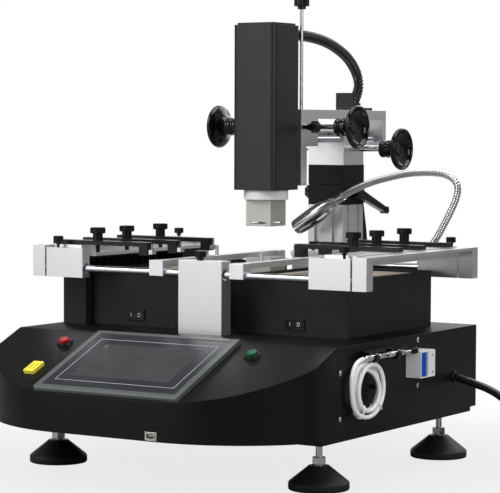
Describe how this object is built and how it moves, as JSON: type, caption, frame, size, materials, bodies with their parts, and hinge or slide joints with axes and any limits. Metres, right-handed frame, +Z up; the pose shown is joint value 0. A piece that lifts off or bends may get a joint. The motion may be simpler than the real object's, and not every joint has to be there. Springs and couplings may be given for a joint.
{
  "type": "bga rework station",
  "caption": "Bench rework station for ball-grid chips: console chassis on levelling feet, lower heaters, rod-guided board fixture and a hot-air head on a rack-driven two-axis arm.",
  "frame": {"origin": "on the floor, at the middle of the footprint without the cord", "axes": "+X to the operator's right, +Y from the console to the back, +Z up"},
  "size_m": [0.7777, 0.681, 0.65],
  "materials": {
    "black_sheet": "matte powder coat",
    "black_plastic": "matte",
    "black_gloss": "polished phenolic",
    "rubber": "moulded",
    "nickel": "nickel plate",
    "steel": "ground and polished",
    "silver": "fine anodised",
    "grey_plastic": "satin",
    "screen": "dark glass",
    "red_lens": "translucent",
    "green_lens": "translucent",
    "yellow_plastic": "satin",
    "white_plastic": "satin",
    "blue_plastic": "satin",
    "silicone": "translucent silicone",
    "ceramic": "fired ceramic",
    "head_paint": "satin powder coat",
    "nozzle_steel": "bead blasted",
    "insulator": "pressed mica board"
  },
  "bodies": {
    "base": {"chassis_shell": "black_sheet", "bottom_pan": "black_sheet", "side_covers": "black_sheet", "heater_boxes": "black_sheet", "fan_housing": "black_sheet", "column_bracket": "black_sheet", "clamp_block": "black_sheet", "foot_pads": "rubber", "power_cord": "rubber", "cord_coil": "rubber", "foot_studs": "nickel", "usb_port": "nickel", "suction_pen": "nickel", "work_lamp": "nickel", "panel_bezel": "grey_plastic", "panel_screen": "screen", "switch_bezels": "black_plastic", "cord_gland": "black_plastic", "plug": "black_plastic", "pen_holder": "black_plastic", "post_knobs": "black_plastic", "thermocouple_socket": "yellow_plastic", "breaker_body": "white_plastic", "suction_hose": "silicone", "hose_coil": "silicone", "heater_tiles": "ceramic", "rod_posts": "silver", "column": "silver", "bearing_block": "silver", "lower_heater": "nozzle_steel"},
    "red_button": {"red_button": "red_lens"},
    "green_button": {"green_button": "green_lens"},
    "left_rocker": {"left_rocker": "black_plastic"},
    "right_rocker": {"right_rocker": "black_plastic"},
    "breaker_toggle": {"breaker_toggle": "blue_plastic"},
    "fixture_frame": {"fixture_rods": "steel", "end_frames": "silver"},
    "left_carriage": {"left_carriage": "silver", "left_carriage_knobs": "black_plastic"},
    "right_carriage": {"right_carriage": "silver", "right_carriage_knobs": "black_plastic"},
    "left_support_bar": {"left_support_bar": "silver"},
    "right_support_bar": {"right_support_bar": "silver"},
    "clamp_lever": {"clamp_lever": "black_plastic"},
    "slide_wheels": {"slide_drive": "black_gloss"},
    "arm": {"arm_frame": "silver", "arm_rails": "steel", "arm_fittings": "black_plastic", "conduit": "black_plastic"},
    "lift_wheels": {"lift_drive": "black_gloss"},
    "head": {"head_housing": "head_paint", "head_slide": "steel", "nozzle_flange": "insulator"},
    "nozzle": {"nozzle": "nozzle_steel"},
    "left_front_arm": {"left_front_arm": "black_plastic"},
    "left_middle_arm": {"left_middle_arm": "black_plastic"},
    "left_rear_arm": {"left_rear_arm": "black_plastic"},
    "right_front_arm": {"right_front_arm": "black_plastic"},
    "right_middle_arm": {"right_middle_arm": "black_plastic"},
    "right_rear_arm": {"right_rear_arm": "black_plastic"}
  },
  "joints": [
    {"name": "red_press", "type": "slide", "parent": "base", "child": "red_button", "axis": [0, 0.3875, -0.9219], "range_m": [0, 0.003], "stiffness_N_per_m": 300, "springref_m": -0.002},
    {"name": "green_press", "type": "slide", "parent": "base", "child": "green_button", "axis": [0, 0.3875, -0.9219], "range_m": [0, 0.003], "stiffness_N_per_m": 300, "springref_m": -0.002},
    {"name": "left_rocker_tilt", "type": "hinge", "parent": "base", "child": "left_rocker", "pos_m": [-0.13425, -0.0825, 0.2044], "axis": [0, 0, 1], "range_deg": [-18, 0]},
    {"name": "right_rocker_tilt", "type": "hinge", "parent": "base", "child": "right_rocker", "pos_m": [0.12575, -0.0825, 0.2044], "axis": [0, 0, 1], "range_deg": [-18, 0]},
    {"name": "breaker_throw", "type": "hinge", "parent": "base", "child": "breaker_toggle", "pos_m": [0.26415, 0.0124, 0.151], "axis": [0, 0, 1], "range_deg": [0, 50]},
    {"name": "fixture_shift", "type": "slide", "parent": "base", "child": "fixture_frame", "axis": [1, 0, 0], "range_m": [-0.01, 0.022]},
    {"name": "left_carriage_shift", "type": "slide", "parent": "fixture_frame", "child": "left_carriage", "axis": [1, 0, 0], "range_m": [0, 0.04]},
    {"name": "right_carriage_shift", "type": "slide", "parent": "fixture_frame", "child": "right_carriage", "axis": [1, 0, 0], "range_m": [-0.04, 0]},
    {"name": "left_front_arm_shift", "type": "slide", "parent": "left_carriage", "child": "left_front_arm", "axis": [0, 1, 0], "range_m": [-0.006, 0.02]},
    {"name": "left_middle_arm_shift", "type": "slide", "parent": "left_carriage", "child": "left_middle_arm", "axis": [0, 1, 0], "range_m": [-0.02, 0.02]},
    {"name": "left_rear_arm_shift", "type": "slide", "parent": "left_carriage", "child": "left_rear_arm", "axis": [0, 1, 0], "range_m": [-0.02, 0.02]},
    {"name": "right_front_arm_shift", "type": "slide", "parent": "right_carriage", "child": "right_front_arm", "axis": [0, 1, 0], "range_m": [-0.02, 0.02]},
    {"name": "right_middle_arm_shift", "type": "slide", "parent": "right_carriage", "child": "right_middle_arm", "axis": [0, 1, 0], "range_m": [-0.02, 0.02]},
    {"name": "right_rear_arm_shift", "type": "slide", "parent": "right_carriage", "child": "right_rear_arm", "axis": [0, 1, 0], "range_m": [-0.02, 0.02]},
    {"name": "left_bar_shift", "type": "slide", "parent": "fixture_frame", "child": "left_support_bar", "axis": [1, 0, 0], "range_m": [-0.03, 0]},
    {"name": "right_bar_shift", "type": "slide", "parent": "fixture_frame", "child": "right_support_bar", "axis": [1, 0, 0], "range_m": [0, 0.03]},
    {"name": "clamp_turn", "type": "hinge", "parent": "base", "child": "clamp_lever", "pos_m": [-0.00425, 0.2505, 0.371], "axis": [1, 0, 0], "range_deg": [-40, 60]},
    {"name": "arm_slide", "type": "slide", "parent": "base", "child": "arm", "axis": [0, 1, 0], "range_m": [-0.04, 0.06]},
    {"name": "slide_wheel_turn", "type": "hinge", "parent": "base", "child": "slide_wheels", "pos_m": [-0.00425, 0.2505, 0.436], "axis": [1, 0, 0], "range_deg": [-216, 145]},
    {"name": "head_lift", "type": "slide", "parent": "arm", "child": "head", "axis": [0, 0, 1], "range_m": [-0.02, 0.05], "deforming": ["conduit"]},
    {"name": "lift_wheel_turn", "type": "hinge", "parent": "arm", "child": "lift_wheels", "pos_m": [-0.00425, 0.1095, 0.468], "axis": [1, 0, 0], "range_deg": [-320, 128]},
    {"name": "nozzle_turn", "type": "hinge", "parent": "head", "child": "nozzle", "pos_m": [-0.00425, 0.0525, 0.346], "axis": [0, 0, 1], "range_deg": [-45, 45]}
  ],
  "couplings": [
    {"joint": "slide_wheel_turn", "follows": "arm_slide", "rad_per_m": -62.5},
    {"joint": "lift_wheel_turn", "follows": "head_lift", "rad_per_m": -111.11}
  ]
}
